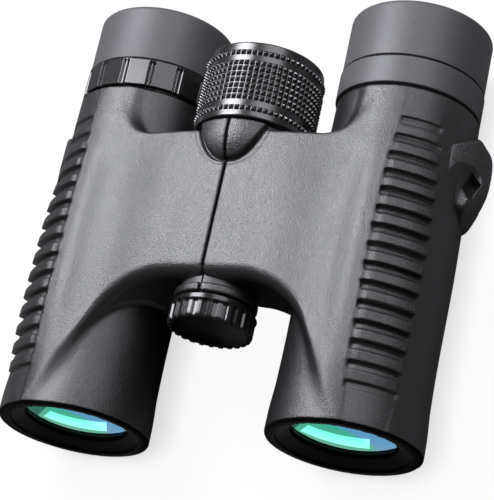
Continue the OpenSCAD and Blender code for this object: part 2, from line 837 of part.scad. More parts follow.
housing(1, [left_a, left_b], left_gaps);  // left_housing
armour(1);  // left_armour
strap_lug(1);  // left_strap_lug
objective_ring(1);  // left_objective_ring
objective_crown(1);  // left_objective_crown
objective_flint(1);  // left_objective_flint
objective_cell(1);  // left_objective_cell
guide_ring(1);  // left_guide_ring
guide_rod(1);  // left_guide_rod
focus_carrier(1);  // left_focus_carrier
focus_lens(1);  // left_focus_lens
prism_plate(1);  // left_prism_plate
prism_screws(1);  // left_prism_screws
prism_cage(1);  // left_prism_cage
prism_front(1);  // left_prism_front
prism_roof(1);  // left_prism_roof
eyepiece_tube(1);  // left_eyepiece_tube
field_cell(1);  // left_field_cell
field_lens(1);  // left_field_lens
eye_lens(1);  // left_eye_lens
eye_ring(1);  // left_eye_ring
plain_ring(1);  // left_plain_ring
eyecup_guide(1);  // left_eyecup_guide
eyecup(1);  // left_eyecup

housing(-1, [right_a, right_b], right_gaps);  // right_housing
armour(-1);  // right_armour
strap_lug(-1);  // right_strap_lug
objective_ring(-1);  // right_objective_ring
objective_crown(-1);  // right_objective_crown
objective_flint(-1);  // right_objective_flint
objective_cell(-1);  // right_objective_cell
guide_ring(-1);  // right_guide_ring
guide_rod(-1);  // right_guide_rod
focus_carrier(-1);  // right_focus_carrier
focus_lens(-1);  // right_focus_lens
prism_plate(-1);  // right_prism_plate
prism_screws(-1);  // right_prism_screws
prism_cage(-1);  // right_prism_cage
prism_front(-1);  // right_prism_front
prism_roof(-1);  // right_prism_roof
eyepiece_tube(-1);  // right_eyepiece_tube
field_cell(-1);  // right_diopter_cell
field_lens(-1);  // right_field_lens
eye_lens(-1);  // right_eye_lens
eye_ring(-1);  // right_eye_ring
diopter_ring(-1);  // right_diopter_ring
eyecup_guide(-1);  // right_eyecup_guide
eyecup(-1);  // right_eyecup
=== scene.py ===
"""Looks of the folding binoculars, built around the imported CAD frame.

The rubber armour and the strap lugs are carved as distance fields and meshed. The controls, rings
and lenses are turned from an outline, and studs or pads change its radius on the way round.
Everything takes its place and main sizes from the frame.

Shapes are worked out in millimetres: a station is a distance behind the objective rims, u is across
from the hinge axis and h is above the barrel axes. A turn round a barrel is in degrees, 0 at its
outer side and 90 at its top. An edge is a (from, to) pair over which something rises from 0 to 1.
"""
import math

import bmesh
import bpy
import numpy as np
import openvdb
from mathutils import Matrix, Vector


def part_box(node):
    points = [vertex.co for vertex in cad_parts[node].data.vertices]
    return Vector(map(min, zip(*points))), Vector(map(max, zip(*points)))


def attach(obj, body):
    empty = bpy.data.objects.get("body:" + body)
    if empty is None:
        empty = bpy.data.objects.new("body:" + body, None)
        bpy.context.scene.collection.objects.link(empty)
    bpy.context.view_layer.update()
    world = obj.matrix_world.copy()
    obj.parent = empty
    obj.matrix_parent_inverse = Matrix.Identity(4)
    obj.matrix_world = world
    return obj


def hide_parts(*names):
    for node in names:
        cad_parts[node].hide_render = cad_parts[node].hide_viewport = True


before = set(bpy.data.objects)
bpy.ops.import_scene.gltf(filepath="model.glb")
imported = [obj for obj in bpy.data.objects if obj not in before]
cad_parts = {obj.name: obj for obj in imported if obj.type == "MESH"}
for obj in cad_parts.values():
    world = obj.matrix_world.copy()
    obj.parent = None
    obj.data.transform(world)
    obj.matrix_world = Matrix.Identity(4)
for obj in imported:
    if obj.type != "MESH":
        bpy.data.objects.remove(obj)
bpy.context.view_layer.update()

MM = 0.001
SIDES = {"left": 1, "right": -1}


# ---------- places and sizes, from the frame ----------

def centre(node):
    low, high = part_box(node)
    return (low + high) / 2


def size(node):
    low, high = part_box(node)
    return high - low


RIM_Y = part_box("left_armour")[0].y
BARREL_X = centre("left_objective_ring").x
BARREL_Z = centre("left_objective_ring").z
HINGE_Z = centre("focus_cap").z


def station(y):
    """Distance behind the objective rims, in millimetres."""
    return (y - RIM_Y) / MM


def reach(node):
    """A round node's first and last station, and its radius in millimetres."""
    low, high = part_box(node)
    return station(low.y), station(high.y), (high.x - low.x) / 2 / MM


def radius(node):
    return size(node).x / 2 / MM


AXIS_X = BARREL_X / MM
HINGE_RISE = (HINGE_Z - BARREL_Z) / MM
ARMOUR_LEN = station(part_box("left_armour")[1].y)
BORE_R = radius("left_objective_ring")
WHEEL_START, WHEEL_END = reach("focus_grip")[:2]
WHEEL_R = radius("focus_grip")
SLEEVE_START = station(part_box("tripod_cap")[1].y) + 0.45
BARREL_AXES = {side: (sign * BARREL_X, BARREL_Z) for side, sign in SIDES.items()}
HINGE_AXIS = (0.0, HINGE_Z)


# ---------- what a curve or a field is made of ----------

def curve(points, s):
    """Smooth curve through a few (station, value) points, with no rise or fall that they lack."""
    x, y = np.array(points, float).T
    slope = np.diff(y) / np.diff(x)
    tangent = np.zeros_like(x)
    inner = slope[:-1] * slope[1:] > 0
    before, after = slope[:-1][inner], slope[1:][inner]
    tangent[1:-1][inner] = 2 * before * after / (before + after)
    i = np.clip(np.searchsorted(x, s) - 1, 0, len(x) - 2)
    h = x[i + 1] - x[i]
    t = np.clip((s - x[i]) / h, 0, 1)
    return ((2 * t**3 - 3 * t**2 + 1) * y[i] + (t**3 - 2 * t**2 + t) * h * tangent[i]
            + (3 * t**2 - 2 * t**3) * y[i + 1] + (t**3 - t**2) * h * tangent[i + 1])


def step(start, stop, value):
    """0 at start and before it, 1 at stop and past it, smooth between them."""
    t = np.clip((value - start) / (stop - start), 0, 1)
    return t * t * (3 - 2 * t)


def melt(a, b, k):
    """Union of two fields with a fillet of about k."""
    h = np.maximum(k - np.abs(a - b), 0) / k
    return np.minimum(a, b) - h * h * k / 4


def meet(a, b, r):
    """Intersection of two fields with an edge rounded to radius r."""
    return np.minimum(np.maximum(a, b), -r) + np.hypot(np.maximum(a + r, 0), np.maximum(b + r, 0))


def line_distance(start, end, x, y):
    """Distance to a straight line between two points."""
    (ax, ay), (bx, by) = start, end
    dx, dy = bx - ax, by - ay
    t = np.clip(((x - ax) * dx + (y - ay) * dy) / (dx * dx + dy * dy), 0, 1)
    return np.hypot(x - ax - t * dx, y - ay - t * dy)


def outline_distance(outline, x, y):
    """Signed distance to a closed outline on a grid, positive inside it."""
    inside = np.zeros(np.broadcast(x, y).shape, bool)
    nearest = np.full(inside.shape, 1e6, np.float32)
    for (ax, ay), (bx, by) in zip(outline, outline[1:] + outline[:1]):
        nearest = np.minimum(nearest, line_distance((ax, ay), (bx, by), x, y))
        if ay != by:
            crosses = (ay > y) != (by > y)
            inside ^= crosses & (x < ax + (y - ay) * (bx - ax) / (by - ay))
    return np.where(inside, nearest, -nearest)


def below_slope(across, height, run, drop, u, h):
    """Distance below a slope through (across, height) that falls by drop over run."""
    return (-(h - height) * run - (u - across) * drop) / math.hypot(run, drop)


def arc(cx, cy, r, start, stop, count=16):
    turns = np.radians(np.linspace(start, stop, count))
    return [(cx + r * math.cos(a), cy + r * math.sin(a)) for a in turns]


def softened(outline, rounds=3):
    """Closed outline with its corners cut again and again until they are round."""
    for _ in range(rounds):
        following = outline[1:] + outline[:1]
        outline = [(a[0] * (1 - t) + b[0] * t, a[1] * (1 - t) + b[1] * t)
                   for a, b in zip(outline, following) for t in (0.25, 0.75)]
    return outline


# ---------- the armour round a barrel ----------

# radius of the plain side and of the shoulder's crest, at stations along the barrel
SIDE = [(0, 18.9), (5, 18.85), (13, 18.4), (24, 18.25), (46, 18.4), (58, 18.25), (70, 18.1),
        (80, 17.8), (88, 17.7)]
CREST = [(0, 18.9), (4.6, 18.95), (10.5, 19.4), (16, 19.9), (24, 20.3), (35, 20.5), (50, 20.4),
         (60, 19.9), (70, 19.2), (80, 18.2), (84, 17.9), (88, 17.72)]

# turns between which the strip of ribs lies, and what its edges are from them
STRIP_LOW = [(0, 39), (10, 36), (40, 33.5), (65, 34.5), (80, 39)]
STRIP_HIGH = [(0, 72), (10, 74), (40, 76), (65, 75), (80, 71)]
LOW_EDGE = (-0.9, 0.3)
HIGH_EDGE = (0.25, -0.9)
RELIEF = 0.1                # the strip lies this far under the crest, the shoulder this far over it
PLAIN_DROP = 0.3            # the strip's further drop ahead of the first rib
PLAIN_EDGE = 0.18

RIBS = 15
RIB_FIRST = 10.4
RIB_PITCH = 4.91
RIB_LEAD = 0.4              # share of a pitch that is ribbed ahead of the first rib
RIB_FLOOR = 0.6             # no hollow is deeper than this under the plain side
RIB_TOP_DEPTH = 1.55        # depth at the strip's top
RIB_FOOT_DEPTH = 1.0        # what is added on the way to its foot
RIB_FOOT_POWER = 1.3
RIB_END_SHARE = 0.7         # share of the depth at the ends of the barrel
RIB_MIDDLE_SHARE = 0.3      # what is added between them
RIB_FRONT, RIB_REAR = (6, 20), (94, 66)

# a rib's hollow over one pitch: each height is a share of its depth, each edge one of the pitch
TOP_FALL = 0.06
LEDGE_FALL, LEDGE_EDGE = 0.2, (0.50, 0.55)
BACK_FALL, BACK_START, BACK_RUN = 0.3, 0.55, 0.4
FOOT_FALL, FOOT_EDGE = 0.44, (0.82, 0.92)
FACE_EDGE = (1.0, 0.965)

# the shoulder's flat facet is nearest the axis at one turn, and ends in a crease at another
FACET = 81
FACET_SPAN = 15
CREASE = 69.5
CREASE_FADE = 12
FACET_FRONT, FACET_REAR = (4, 22), (88, 68)


def facet(theta):
    """Share by which the flat facet lies over a round shoulder."""
    flat = 1 / np.cos(np.radians(np.clip(FACET - theta, 0, FACET_SPAN))) - 1
    peak = 1 / math.cos(math.radians(FACET - CREASE)) - 1
    return np.where(theta > CREASE, flat,
                    peak * np.clip((theta - CREASE + CREASE_FADE) / CREASE_FADE, 0, 1))


def rib_depth(across, s):
    """How far the ribs lie under the crest, from 0 at the strip's top to 1 across it. Each slopes
    back to a small lit ledge and on down to the tall front face of the next one."""
    phase = (s - RIB_FIRST) / RIB_PITCH
    tooth = phase - np.floor(phase)
    ribbed = (phase >= -RIB_LEAD) & (phase < RIBS - 1)
    share = RIB_END_SHARE + RIB_MIDDLE_SHARE * step(*RIB_FRONT, s) * step(*RIB_REAR, s)
    dip = (TOP_FALL * tooth + LEDGE_FALL * step(*LEDGE_EDGE, tooth)
           + BACK_FALL * np.clip((tooth - BACK_START) / BACK_RUN, 0, 1)
           + FOOT_FALL * step(*FOOT_EDGE, tooth))
    dip = np.where(ribbed, dip * step(*FACE_EDGE, tooth), 0)
    return share * (RIB_TOP_DEPTH + RIB_FOOT_DEPTH * across**RIB_FOOT_POWER) * dip


def radius_round(theta, s):
    """Radius of the armour round a barrel: plain side, rib strip, shoulder."""
    side = curve(SIDE, s)
    low, high = curve(STRIP_LOW, s), curve(STRIP_HIGH, s)
    crest = curve(CREST, s) * (1 + facet(theta) * step(*FACET_FRONT, s) * step(*FACET_REAR, s))
    across = np.clip((high - theta) / (high - low), 0, 1)
    floor = np.maximum(crest - rib_depth(across, s), side - RIB_FLOOR)
    plain = PLAIN_DROP * step(RIB_FIRST, RIB_FIRST - PLAIN_EDGE, s)
    strip = np.minimum(floor, crest) - plain - RELIEF
    shoulder = crest + RELIEF
    into = step(high + HIGH_EDGE[0], high + HIGH_EDGE[1], theta)
    out = step(low + LOW_EDGE[0], low + LOW_EDGE[1], theta)
    return side + out * (strip + (1 - into) * (shoulder - strip) - side)


# ---------- the armour over the bridge and the hinge ----------

DECK_TOP = 21.15            # height of the bridge's deck
DECK_FLAT = 4               # how far from the middle the deck is flat
SINK = 1.1                  # how far the deck and the shoulder dip between these edges
SINK_FRONT, SINK_REAR = (6, 30), (77, 60)
SINK_INNER, SINK_OUTER = (15, 29), (38.5, 31)
FALL_START = 73.2           # behind a slanting line the deck falls to the barrel
FALL_SLANT, FALL_CORNER, FALL_RUN = 0.8, 27.5, 6
FALL_INNER, FALL_OUTER = (25.5, 28.5), 33
FALL_LIFT = 0.02
UNDER_TURN = 184            # past this turn the barrel is plain
OVERLAP = 1.0               # how far the bridge runs on past the middle before it is cut

# the bridge's underside, as slopes through (across, height) with a run and a drop
UNDER_OUTER = (24.5, -13.6, 18, 13.1)
UNDER_MIDDLE = (0, 1.0, 6.5, 1.5)

# plans of the open spaces in front of the bridge and behind it, as (across, station) outlines
BRIDGE_FRONT = 34.5
BRIDGE_REAR = 73.6
ARCH = [(0, 34.5), (10.5, 34.4), (17, 32.9), (21.5, 30.4), (24.8, 27.2), (27.5, 23.6), (30, 19.6),
        (33.7, 13.2), (37.4, 6.4), (41, -1), (44, -8)]
ARCH_ACROSS = np.linspace(0, 44, 45)
FRONT_PLAN = [(-3, -20), (-3, BRIDGE_FRONT), *zip(ARCH_ACROSS, curve(ARCH, ARCH_ACROSS))]
REAR_PLAN = [(-3, BRIDGE_REAR), (23, BRIDGE_REAR), *arc(23.2, BRIDGE_REAR + 5.5, 5.5, -86, -48, 6),
             (28.6, 77.0), (30.2, 79.5), (31, 82), (31.5, 96), (-3, 96)]
ARCH_ROUND, ARCH_SHARPER, ARCH_EDGE = 3.4, 1.9, (24, 32)
REAR_ROUND = 0.9

# the hood over the hinge, and the groove and the lip round it on the deck
HOOD_R = 14.5
HOOD_NOSE = 13.5
HOOD_FULL = 72.5
HOOD_BLUNT = 0.9
HOOD_LEAN = 0.55
HOOD_TIP = 65.4
HOOD_CURVE = 0.033
HOOD_POWER = 2.6
HOOD_ROUND, HOOD_END_ROUND = 0.3, 0.5
GROOVE = 0.7
GROOVE_DEPTH = 1.0
LIP_HEIGHT = 0.17
LIP_INNER, LIP_OUTER = (0.5, 0.7), (1.8, 1.5)
WHEEL_GAP = 0.4

# the sleeve ahead of the hood, with a collar at its front
SLEEVE_R = 9.2
SLEEVE_END = 66
SLEEVE_SET_BACK = 0.2
COLLAR_R = 10.4
COLLAR_LEN = 2.4
COLLAR_REAR_ROUND, COLLAR_FRONT_ROUND = 0.7, 0.5

# width of the fillet between barrel and bridge, and what is added at the front and at the rear
FILLET, FILLET_LEAST = 1.2, 0.05
FILLET_FRONT, FRONT_ALONG, FRONT_ACROSS = 2.6, (26, 6), (44, 35)
FILLET_REAR, REAR_ALONG, REAR_ACROSS = 1.3, (74, 80), (26, 30)
FILLET_TURN = (-60, -10)

RIM_ROUND = 0.9
END_ROUND = 0.25
SEAM, SEAM_ROUND = 0.25, 0.2
FOLD_CLEARANCE, FOLD_ROUND = math.radians(28), 0.3

# the rigid housing, the objective bore and the hinge knuckles, which take the inside
SKIN = 1.5
ARCH_SKIN = 0.4             # what is added to the skin in front of the bridge
HOOD_SKIN = 1.0
CORE_TOP, CORE_FALL = 19.4, 0.04
CORE_REAR, CORE_CORNER, CORE_SLANT = 74.6, 28, 0.62
CORE_FRONT = 1.6
CORE_WHEEL_GAP = 0.1
BORE_GAP, BORE_DEPTH = 0.05, 1.7
KNUCKLE_R, KNUCKLE_LEAD, KNUCKLE_END = 8.7, 1, 65.5


class Grid:
    """Where each point of a grid is, from u, s and h as broadcastable arrays. out, r and theta are
    the distance across, the distance and the turn from the barrel's axis, and hinge is the
    distance from the hinge's. ahead, behind and under are positive in the open space in front of
    the bridge, behind it and below it."""

    def __init__(self, u, s, h):
        self.u, self.s, self.h = u, s, h
        self.out = u - AXIS_X
        self.r = np.hypot(self.out, h)
        theta = np.degrees(np.arctan2(h, self.out))
        self.theta = np.where(theta < -90, theta + 360, theta)
        self.hinge = np.hypot(u, h - HINGE_RISE)
        self.side = curve(SIDE, s)
        self.ahead = outline_distance(FRONT_PLAN, u, s)
        self.behind = outline_distance(REAR_PLAN, u, s)
        self.under = np.maximum(below_slope(*UNDER_OUTER, u, h), below_slope(*UNDER_MIDDLE, u, h))


def bridge_top(at):
    """Distance above the top of the armour, and above the bridge's deck alone."""
    u, s = at.u, at.s
    crest = curve(CREST, s)
    sink = (SINK * step(*SINK_FRONT, s) * step(*SINK_REAR, s)
            * step(*SINK_INNER, u) * step(*SINK_OUTER, u))
    top = DECK_TOP + (crest + RELIEF - DECK_TOP) * step(DECK_FLAT, AXIS_X, u) - sink
    barrel = np.sqrt(np.maximum(at.side**2 - at.out**2, 0))
    fall = (step(0, FALL_RUN, s - FALL_START - FALL_SLANT * (u - FALL_CORNER))
            * step(*FALL_INNER, u) * step(AXIS_X, FALL_OUTER, u))
    deck = at.h - top + fall * (top - barrel - FALL_LIFT)
    shoulder = at.r - radius_round(at.theta, s) + sink
    shoulder = np.where(at.theta > UNDER_TURN, at.r - at.side, shoulder)
    return np.where(u < AXIS_X, deck, shoulder), deck


def hood_plan(at):
    """Distance ahead of the hood's rounded front edge, as seen from above."""
    wide = np.abs(at.u)
    return ((HOOD_TIP + HOOD_CURVE * wide**HOOD_POWER - at.s)
            / np.hypot(1, HOOD_POWER * HOOD_CURVE * wide**(HOOD_POWER - 1)))


def hood_field(at, plan):
    """Distance field of the hood over the hinge, with the sleeve and collar ahead of it."""
    s = at.s
    back = np.clip((HOOD_FULL - s) / HOOD_NOSE, 0, HOOD_BLUNT)
    nose = HOOD_R * np.sqrt(1 - back**2)
    hood = meet((at.hinge - nose) * np.sqrt(1 - HOOD_LEAN * back), plan, HOOD_ROUND)
    hood = meet(hood, s - WHEEL_START + WHEEL_GAP, HOOD_END_ROUND)
    collar = meet(at.hinge - COLLAR_R, s - SLEEVE_START - COLLAR_LEN, COLLAR_REAR_ROUND)
    collar = meet(collar, SLEEVE_START - s, COLLAR_FRONT_ROUND)
    sleeve = np.maximum(at.hinge - SLEEVE_R, SLEEVE_START + SLEEVE_SET_BACK - s)
    return np.minimum(np.minimum(hood, collar), np.maximum(sleeve, s - SLEEVE_END))


def bridge_slab(at, plan):
    """Distance field of the bridge with the shoulder, its groove and lip cut round the hood."""
    top, deck = bridge_top(at)
    slab = np.maximum(top, np.maximum(at.under, -at.u - OVERLAP))
    raised = step(*LIP_OUTER, plan) * step(*LIP_INNER, plan)
    slab = slab - LIP_HEIGHT * raised
    slab = np.maximum(slab, np.minimum(GROOVE - plan, deck + GROOVE_DEPTH))
    slab = meet(slab, at.ahead, ARCH_ROUND - ARCH_SHARPER * step(*ARCH_EDGE, at.u))
    return meet(slab, at.behind, REAR_ROUND)


def fillet(at):
    """Width of the fillet between barrel and bridge."""
    return ((FILLET + FILLET_FRONT * step(*FRONT_ALONG, at.s) * step(*FRONT_ACROSS, at.u)
             + FILLET_REAR * step(*REAR_ALONG, at.s) * step(*REAR_ACROSS, at.u))
            * step(*FILLET_TURN, at.theta) + FILLET_LEAST)


def armour_inside(at, hood):
    """Distance field of what lies inside the armour."""
    u, s = at.u, at.s
    deck = np.maximum(at.h - CORE_TOP + CORE_FALL * u, at.ahead + SKIN + ARCH_SKIN)
    deck = np.maximum(np.maximum(deck, at.behind + SKIN), np.maximum(at.under + SKIN, u - AXIS_X))
    deck = np.maximum(deck, s - CORE_REAR - CORE_SLANT * np.maximum(u - CORE_CORNER, 0))
    core = np.minimum(at.r - at.side + SKIN, deck)
    core = np.minimum(core, np.maximum(hood + HOOD_SKIN, s - WHEEL_START - CORE_WHEEL_GAP))
    core = np.maximum(core, CORE_FRONT - s)
    bore = np.maximum(at.r - BORE_R - BORE_GAP, s - BORE_DEPTH)
    knuckles = np.maximum(SLEEVE_START - KNUCKLE_LEAD - s, s - KNUCKLE_END)
    knuckles = np.maximum(at.hinge - KNUCKLE_R, knuckles)
    return np.minimum(np.minimum(core, bore), knuckles)


def armour_field(u, s, h):
    """Distance field of one half's armour, positive outside it."""
    at = Grid(u, s, h)
    plan = hood_plan(at)
    hood = hood_field(at, plan)
    shape = melt(at.r - at.side, bridge_slab(at, plan), fillet(at))
    shape = np.minimum(shape, hood)
    shape = meet(shape, -s, RIM_ROUND)
    shape = meet(shape, s - ARMOUR_LEN, END_ROUND)
    wedge = (HINGE_RISE - h) * math.sin(FOLD_CLEARANCE) - u * math.cos(FOLD_CLEARANCE)
    shape = meet(shape, SEAM - u, SEAM_ROUND)
    shape = meet(shape, wedge, FOLD_ROUND)
    return np.maximum(shape, -armour_inside(at, hood))


# ---------- the strap lugs ----------

# outlines across a lug as (out from the barrel's axis, height), and from above as (out, station)
LUG_SECTION = [(13, 8.8), (16.1, 8.5), (18.6, 6.1), (21.3, 2.9), (23.3, -0.2), (24.05, -2.3),
               (23.4, -4.2), (20.8, -6.0), (13, -7.5)]
LUG_PLAN = [(12, 84.2), (17.8, 84.2), (19.6, 82.7), (22.2, 79.6), (23.6, 76.3), (24.05, 73),
            (23.7, 69.1), (22.2, 65.7), (20.4, 61.8), (18.2, 58.2), (12, 58.2)]
LUG_SLOT = [(18.9, 67.4), (20.2, 71.5), (22.5, 69.2), (21.2, 64.4)]

# the scoop that leads to the slot, round a line seen from above
LUG_SCOOP = [(20.2, 70.2), (18.9, 67.6), (18.4, 64.5), (18.6, 60.0)]
SCOOP_DEPTH, SCOOP_WIDTH, SCOOP_EDGE = 2.6, 3.1, (-3, 2)

# the lug's sloping ends: station and height that each passes through, and its lean
LUG_REAR, LUG_REAR_HEIGHT, LUG_REAR_LEAN = 76.6, 8.5, 0.64
LUG_FRONT, LUG_FRONT_HEIGHT, LUG_FRONT_LEAN = 58.9, -2, 0.65
LUG_END_SLANT = 1.19
LUG_BURIED = 0.4
LUG_ROUND, LUG_REAR_ROUND, LUG_FRONT_ROUND, SLOT_ROUND = 0.9, 0.7, 0.6, 0.5


def lug_field(u, s, h):
    """Distance field of a strap lug, on the outer side of the barrel."""
    out = u - AXIS_X
    far = 1e3
    for start, end in zip(LUG_SCOOP, LUG_SCOOP[1:]):
        far = np.minimum(far, line_distance(start, end, out, s))
    dent = SCOOP_DEPTH * np.clip(1 - (far / SCOOP_WIDTH) ** 2, 0, 1) ** 2 * step(*SCOOP_EDGE, h)
    rear = (s - LUG_REAR - LUG_REAR_LEAN * (LUG_REAR_HEIGHT - h)) / LUG_END_SLANT
    front = (LUG_FRONT + LUG_FRONT_LEAN * (h - LUG_FRONT_HEIGHT) - s) / LUG_END_SLANT
    body = -outline_distance(softened(LUG_SECTION), out, h + dent)
    body = meet(body, -outline_distance(softened(LUG_PLAN), out, s), LUG_ROUND)
    body = meet(body, rear, LUG_REAR_ROUND)
    body = meet(body, front, LUG_FRONT_ROUND)
    body = meet(body, outline_distance(LUG_SLOT, out, s), SLOT_ROUND)
    return np.maximum(body, curve(SIDE, s) - LUG_BURIED - np.hypot(out, h))


# ---------- meshed pieces ----------

FAR = 5.0                   # a field is cut off at this distance


def new_piece(name, points, faces, body, slot, replaced, finish=None):
    """Makes a piece from points in metres in the frame, and hangs it on its CAD body. finish is the
    material where it isn't the slot's own."""
    mesh = bpy.data.meshes.new(name)
    mesh.from_pydata(np.asarray(points).tolist(), [], np.asarray(faces).tolist())
    mesh.shade_smooth()
    mesh.update()
    piece = bpy.data.objects.new(name, mesh)
    bpy.context.scene.collection.objects.link(piece)
    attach(piece, body)
    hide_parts(*replaced)
    mesh.materials.append(MATERIALS[finish or slot])
    return piece


def carved(field, low, high, cell, slot, kind, replaced, front=None):
    """Meshes a field's zero surface between two corners, for the left half and mirrored for the
    right one. kind ends the pieces' names, replaced the replaced nodes' names, and faces ahead of
    the front station take matt black, a darker and duller copy of the rubber that paints shade on
    them."""
    axes = [np.arange(a, b + c, c, dtype=np.float32) for a, b, c in zip(low, high, cell)]
    values = field(axes[0][:, None, None], axes[1][None, :, None], axes[2][None, None, :])
    grid = openvdb.FloatGrid()
    grid.background = FAR
    grid.copyFromArray(np.ascontiguousarray(np.clip(values, -FAR, FAR), np.float32))
    points, quads = grid.convertToQuads(0.0)
    points = points * np.array(cell) + np.array(low)
    for side, sign in SIDES.items():
        placed = np.stack([sign * points[:, 0] * MM, RIM_Y + points[:, 1] * MM,
                           BARREL_Z + points[:, 2] * MM], 1)
        faces = quads if sign < 0 else quads[:, ::-1]
        piece = new_piece(f"{side}_{kind}", placed, faces, side + "_half", slot,
                          (f"{side}_{replaced}",))
        # painted shade: the rim's front faces get the darker, duller matt black in place of the
        # armour's rubber
        if front is not None:
            piece.data.materials.append(MATERIALS["matt_black"])
            ahead = points[quads, 1].mean(1) < front
            piece.data.polygons.foreach_set("material_index", ahead.astype(np.int32))


# ---------- turned pieces ----------

PLAIN = 256                 # steps round a plain ring
MERGED = 1e-7               # points nearer than this, in metres, become one
NEARLY_HALF = 0.49


def rounded(corners, per_corner=6):
    """Closed outline through (station, radius, corner radius) corners."""
    out = []
    for i, (s, r, fillet_r) in enumerate(corners):
        here = Vector((s, r))
        before = Vector(corners[i - 1][:2]) - here
        after = Vector(corners[(i + 1) % len(corners)][:2]) - here
        if fillet_r <= 0:
            out.append(tuple(here))
            continue
        a, b = before.normalized(), after.normalized()
        half = a.angle(b) / 2
        cut = min(fillet_r / math.tan(half), NEARLY_HALF * before.length,
                  NEARLY_HALF * after.length)
        for k in range(per_corner + 1):
            t = k / per_corner
            start, end = here + a * cut, here + b * cut
            out.append(tuple((1 - t)**2 * start + 2 * t * (1 - t) * here + t * t * end))
    return out


def finer(outline, longest, closed=True):
    """Outline with its long edges cut into shorter ones. An open one stops a cut short of its last
    point."""
    out = []
    following = outline[1:] + outline[:1] if closed else outline[1:]
    for (s0, r0), (s1, r1) in zip(outline, following):
        parts = max(1, math.ceil(math.hypot(s1 - s0, r1 - r0) / longest))
        out += [(s0 + (s1 - s0) * k / parts, r0 + (r1 - r0) * k / parts) for k in range(parts)]
    return out


def turned(name, outline, count, axis, body, slot, replaced, swell=None, hollow=True,
           finish=None):
    """Turns an outline of (station, radius) points in count steps round an axis given as (x, z) in
    metres. swell gives a change of radius from station, radius and turn in radians. An outline
    that starts and ends at the axis has hollow=False."""
    s, r = np.array(outline, float).T
    turns = np.arange(count) * 2 * math.pi / count
    swollen = np.repeat(r[:, None], count, 1)
    if swell is not None:
        swollen = swollen + swell(s[:, None], r[:, None], turns[None, :])
    points = np.stack([axis[0] + swollen * np.cos(turns) * MM,
                       np.repeat(RIM_Y + s[:, None] * MM, count, 1),
                       axis[1] + swollen * np.sin(turns) * MM], 2).reshape(-1, 3)
    rows = len(outline) if hollow else len(outline) - 1
    i, j = np.meshgrid(np.arange(rows), np.arange(count), indexing="ij")
    below, beside = (i + 1) % len(outline), (j + 1) % count
    faces = np.stack([i * count + j, below * count + j, below * count + beside,
                      i * count + beside], 2).reshape(-1, 4)
    piece = new_piece(name, points, faces, body, slot, (replaced,), finish)
    shape = bmesh.new()
    shape.from_mesh(piece.data)
    bmesh.ops.remove_doubles(shape, verts=shape.verts, dist=MERGED)
    bmesh.ops.recalc_face_normals(shape, faces=shape.faces)
    shape.to_mesh(piece.data)
    shape.free()


# ---------- materials ----------

NOISE_RANGE = (0.3, 0.7)    # between these lies nearly all of a noise
PATCHES = 45                # patches of gloss to the metre, on rubber and plastic
RINGS, RING_DEPTH = 900, 0.00004
STAINS, STAIN_RANGE = 120, (0.35, 0.65)


def shader(name, colour, roughness, metallic=0.0, **sockets):
    """A principled material, with further uniform values set on its own sockets."""
    made = bpy.data.materials.new(name)
    made.use_nodes = True
    surface = made.node_tree.nodes["Principled BSDF"]
    surface.inputs["Base Color"].default_value = (*colour, 1)
    surface.inputs["Roughness"].default_value = roughness
    surface.inputs["Metallic"].default_value = metallic
    for socket, value in sockets.items():
        surface.inputs[socket.replace("_", " ")].default_value = value
    return made, made.node_tree, surface


def link(tree, source, target):
    tree.links.new(source, target)


def noise(tree, per_metre, detail=2.0, stretch=(1, 1, 1)):
    """Noise in the object's own space, with about per_metre lumps to the metre."""
    place = tree.nodes.new("ShaderNodeTexCoord")
    scale = tree.nodes.new("ShaderNodeMapping")
    scale.inputs["Scale"].default_value = stretch
    texture = tree.nodes.new("ShaderNodeTexNoise")
    texture.inputs["Scale"].default_value = per_metre
    texture.inputs["Detail"].default_value = detail
    link(tree, place.outputs["Object"], scale.inputs["Vector"])
    link(tree, scale.outputs["Vector"], texture.inputs["Vector"])
    return texture.outputs["Fac"]


def ramp(tree, value, low, high, a, b):
    """Colour or grey going from a to b as value goes from low to high."""
    blend = tree.nodes.new("ShaderNodeValToRGB")
    blend.color_ramp.elements[0].position = low
    blend.color_ramp.elements[1].position = high
    for element, tone in zip(blend.color_ramp.elements, (a, b)):
        element.color = (*tone, 1) if isinstance(tone, tuple) else (tone, tone, tone, 1)
    link(tree, value, blend.inputs["Fac"])
    return blend.outputs["Color"]


def bump(tree, surface, height, depth):
    """Bump of a depth in metres."""
    relief = tree.nodes.new("ShaderNodeBump")
    relief.inputs["Distance"].default_value = depth
    relief.inputs["Strength"].default_value = 1.0
    link(tree, height, relief.inputs["Height"])
    link(tree, relief.outputs["Normal"], surface.inputs["Normal"])


def uneven_gloss(tree, surface, texture, low, high):
    """Roughness that wanders between two values with a noise."""
    link(tree, ramp(tree, texture, *NOISE_RANGE, low, high), surface.inputs["Roughness"])


def moulded(name, colour, roughness, grain, depth, spread, **sockets):
    """Rubber or plastic with a fine moulded grain, in lumps to the metre and with its depth in
    metres. Its tone changes with the grain by a share, the spread, and its gloss in patches."""
    made, tree, surface = shader(name, colour, roughness, **sockets)
    speck = noise(tree, grain, 3.0)
    patch = noise(tree, PATCHES)
    darker = tuple(c * (1 - spread) for c in colour)
    lighter = tuple(c * (1 + spread) for c in colour)
    link(tree, ramp(tree, speck, *NOISE_RANGE, darker, lighter), surface.inputs["Base Color"])
    glossier, duller = roughness * 0.92, min(roughness * 1.08, 1)
    uneven_gloss(tree, surface, patch, glossier, duller)
    bump(tree, surface, speck, depth)
    return made


